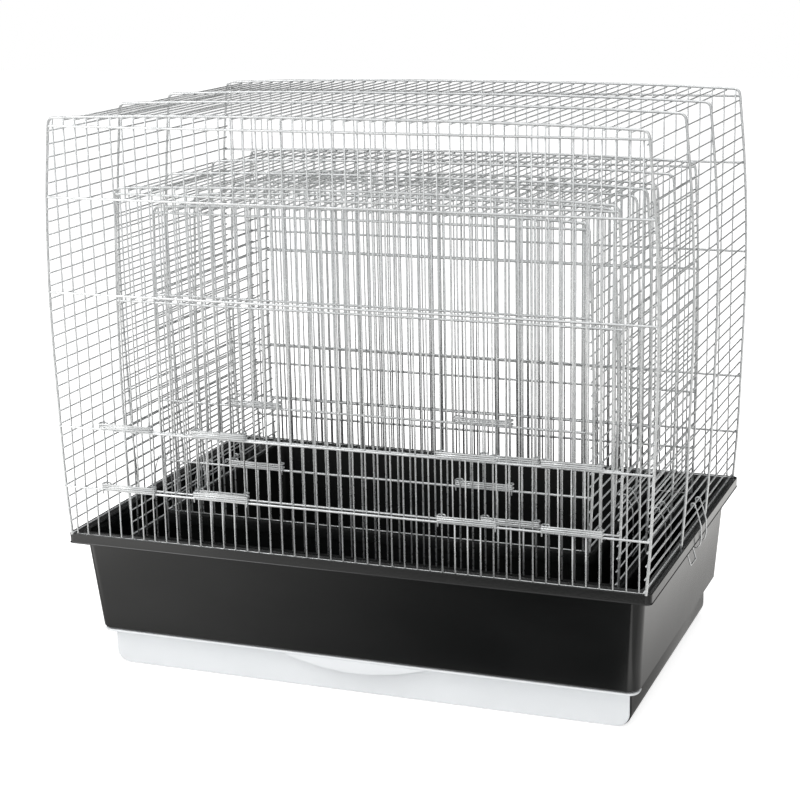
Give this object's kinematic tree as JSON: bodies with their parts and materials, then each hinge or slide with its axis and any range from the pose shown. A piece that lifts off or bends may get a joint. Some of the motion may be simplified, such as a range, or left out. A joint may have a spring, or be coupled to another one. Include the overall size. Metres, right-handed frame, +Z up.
{
  "type": "canary breeding cage",
  "caption": "Canary breeding cage: a barrel-sided wire top on a black plastic tub with a white litter drawer, with two smaller cages of the same build nested inside.",
  "frame": {"origin": "floor level, in the middle of the overall width and depth", "axes": "+Z up, -Y out of the front with the drawer and the feeder doors, +X to the right seen from the front"},
  "size_m": [0.6296, 0.4133, 0.5895],
  "materials": {
    "black_plastic": "glossy moulded black",
    "white_plastic": "satin moulded white",
    "zinc_wire": "bright zinc-plated round wire"
  },
  "bodies": {
    "base": {"base_tub": "black_plastic"},
    "drawer": {"litter_drawer": "white_plastic"},
    "outer_top": {"outer_front_net": "zinc_wire", "outer_back_net": "zinc_wire", "outer_left_net": "zinc_wire", "outer_right_net": "zinc_wire", "outer_roof_net": "zinc_wire"},
    "outer_door_1": {"outer_door_1": "zinc_wire"},
    "outer_door_2": {"outer_door_2": "zinc_wire"},
    "outer_door_3": {"outer_door_3": "zinc_wire"},
    "outer_door_4": {"outer_door_4": "zinc_wire"},
    "outer_latch_left": {"outer_latch_left": "zinc_wire"},
    "outer_latch_right": {"outer_latch_right": "zinc_wire"},
    "mid_tray": {"mid_base": "black_plastic"},
    "mid_top": {"mid_front_net": "zinc_wire", "mid_back_net": "zinc_wire", "mid_left_net": "zinc_wire", "mid_right_net": "zinc_wire", "mid_roof_net": "zinc_wire"},
    "mid_door_1": {"mid_door_1": "zinc_wire"},
    "mid_door_2": {"mid_door_2": "zinc_wire"},
    "mid_latch_left": {"mid_latch_left": "zinc_wire"},
    "mid_latch_right": {"mid_latch_right": "zinc_wire"},
    "small_tray": {"small_base": "black_plastic"},
    "small_top": {"small_front_net": "zinc_wire", "small_back_net": "zinc_wire", "small_left_net": "zinc_wire", "small_right_net": "zinc_wire", "small_roof_net": "zinc_wire"},
    "small_door_1": {"small_door_1": "zinc_wire"},
    "small_door_2": {"small_door_2": "zinc_wire"},
    "small_latch_left": {"small_latch_left": "zinc_wire"},
    "small_latch_right": {"small_latch_right": "zinc_wire"}
  },
  "joints": [
    {"name": "drawer_slide", "type": "slide", "parent": "base", "child": "drawer", "axis": [0, -1, 0], "range_m": [0, 0.3]},
    {"name": "outer_top_lift", "type": "slide", "parent": "base", "child": "outer_top", "axis": [0, 0, 1], "range_m": [0, 0.45]},
    {"name": "outer_door_1_lift", "type": "slide", "parent": "outer_top", "child": "outer_door_1", "axis": [0, 0, 1], "range_m": [0, 0.055]},
    {"name": "outer_door_2_lift", "type": "slide", "parent": "outer_top", "child": "outer_door_2", "axis": [0, 0, 1], "range_m": [0, 0.055]},
    {"name": "outer_door_3_lift", "type": "slide", "parent": "outer_top", "child": "outer_door_3", "axis": [0, 0, 1], "range_m": [0, 0.055]},
    {"name": "outer_door_4_lift", "type": "slide", "parent": "outer_top", "child": "outer_door_4", "axis": [0, 0, 1], "range_m": [0, 0.055]},
    {"name": "outer_latch_left_swing", "type": "hinge", "parent": "outer_top", "child": "outer_latch_left", "pos_m": [-0.30439, 0.00855, 0.1809], "axis": [0, 1, 0], "range_deg": [0, 60]},
    {"name": "outer_latch_right_swing", "type": "hinge", "parent": "outer_top", "child": "outer_latch_right", "pos_m": [0.30439, 0.00855, 0.1809], "axis": [0, -1, 0], "range_deg": [0, 60]},
    {"name": "mid_tray_lift", "type": "slide", "parent": "base", "child": "mid_tray", "axis": [0, 0, 1], "range_m": [0, 0.03]},
    {"name": "mid_top_lift", "type": "slide", "parent": "mid_tray", "child": "mid_top", "axis": [0, 0, 1], "range_m": [0, 0.03]},
    {"name": "mid_door_1_lift", "type": "slide", "parent": "mid_top", "child": "mid_door_1", "axis": [0, 0, 1], "range_m": [0, 0.055]},
    {"name": "mid_door_2_lift", "type": "slide", "parent": "mid_top", "child": "mid_door_2", "axis": [0, 0, 1], "range_m": [0, 0.055]},
    {"name": "mid_latch_left_swing", "type": "hinge", "parent": "mid_top", "child": "mid_latch_left", "pos_m": [-0.26261, 0.02855, 0.1663], "axis": [0, 1, 0], "range_deg": [0, 10]},
    {"name": "mid_latch_right_swing", "type": "hinge", "parent": "mid_top", "child": "mid_latch_right", "pos_m": [0.26261, 0.02855, 0.1663], "axis": [0, -1, 0], "range_deg": [0, 10]},
    {"name": "small_tray_lift", "type": "slide", "parent": "mid_tray", "child": "small_tray", "axis": [0, 0, 1], "range_m": [0, 0.006]},
    {"name": "small_top_lift", "type": "slide", "parent": "small_tray", "child": "small_top", "axis": [0, 0, 1], "range_m": [0, 0.006]},
    {"name": "small_door_1_lift", "type": "slide", "parent": "small_top", "child": "small_door_1", "axis": [0, 0, 1], "range_m": [0, 0.055]},
    {"name": "small_door_2_lift", "type": "slide", "parent": "small_top", "child": "small_door_2", "axis": [0, 0, 1], "range_m": [0, 0.055]},
    {"name": "small_latch_left_swing", "type": "hinge", "parent": "small_top", "child": "small_latch_left", "pos_m": [-0.22856, 0.02555, 0.1785], "axis": [0, 1, 0], "range_deg": [0, 12]},
    {"name": "small_latch_right_swing", "type": "hinge", "parent": "small_top", "child": "small_latch_right", "pos_m": [0.22856, 0.02555, 0.1785], "axis": [0, -1, 0], "range_deg": [0, 12]}
  ]
}
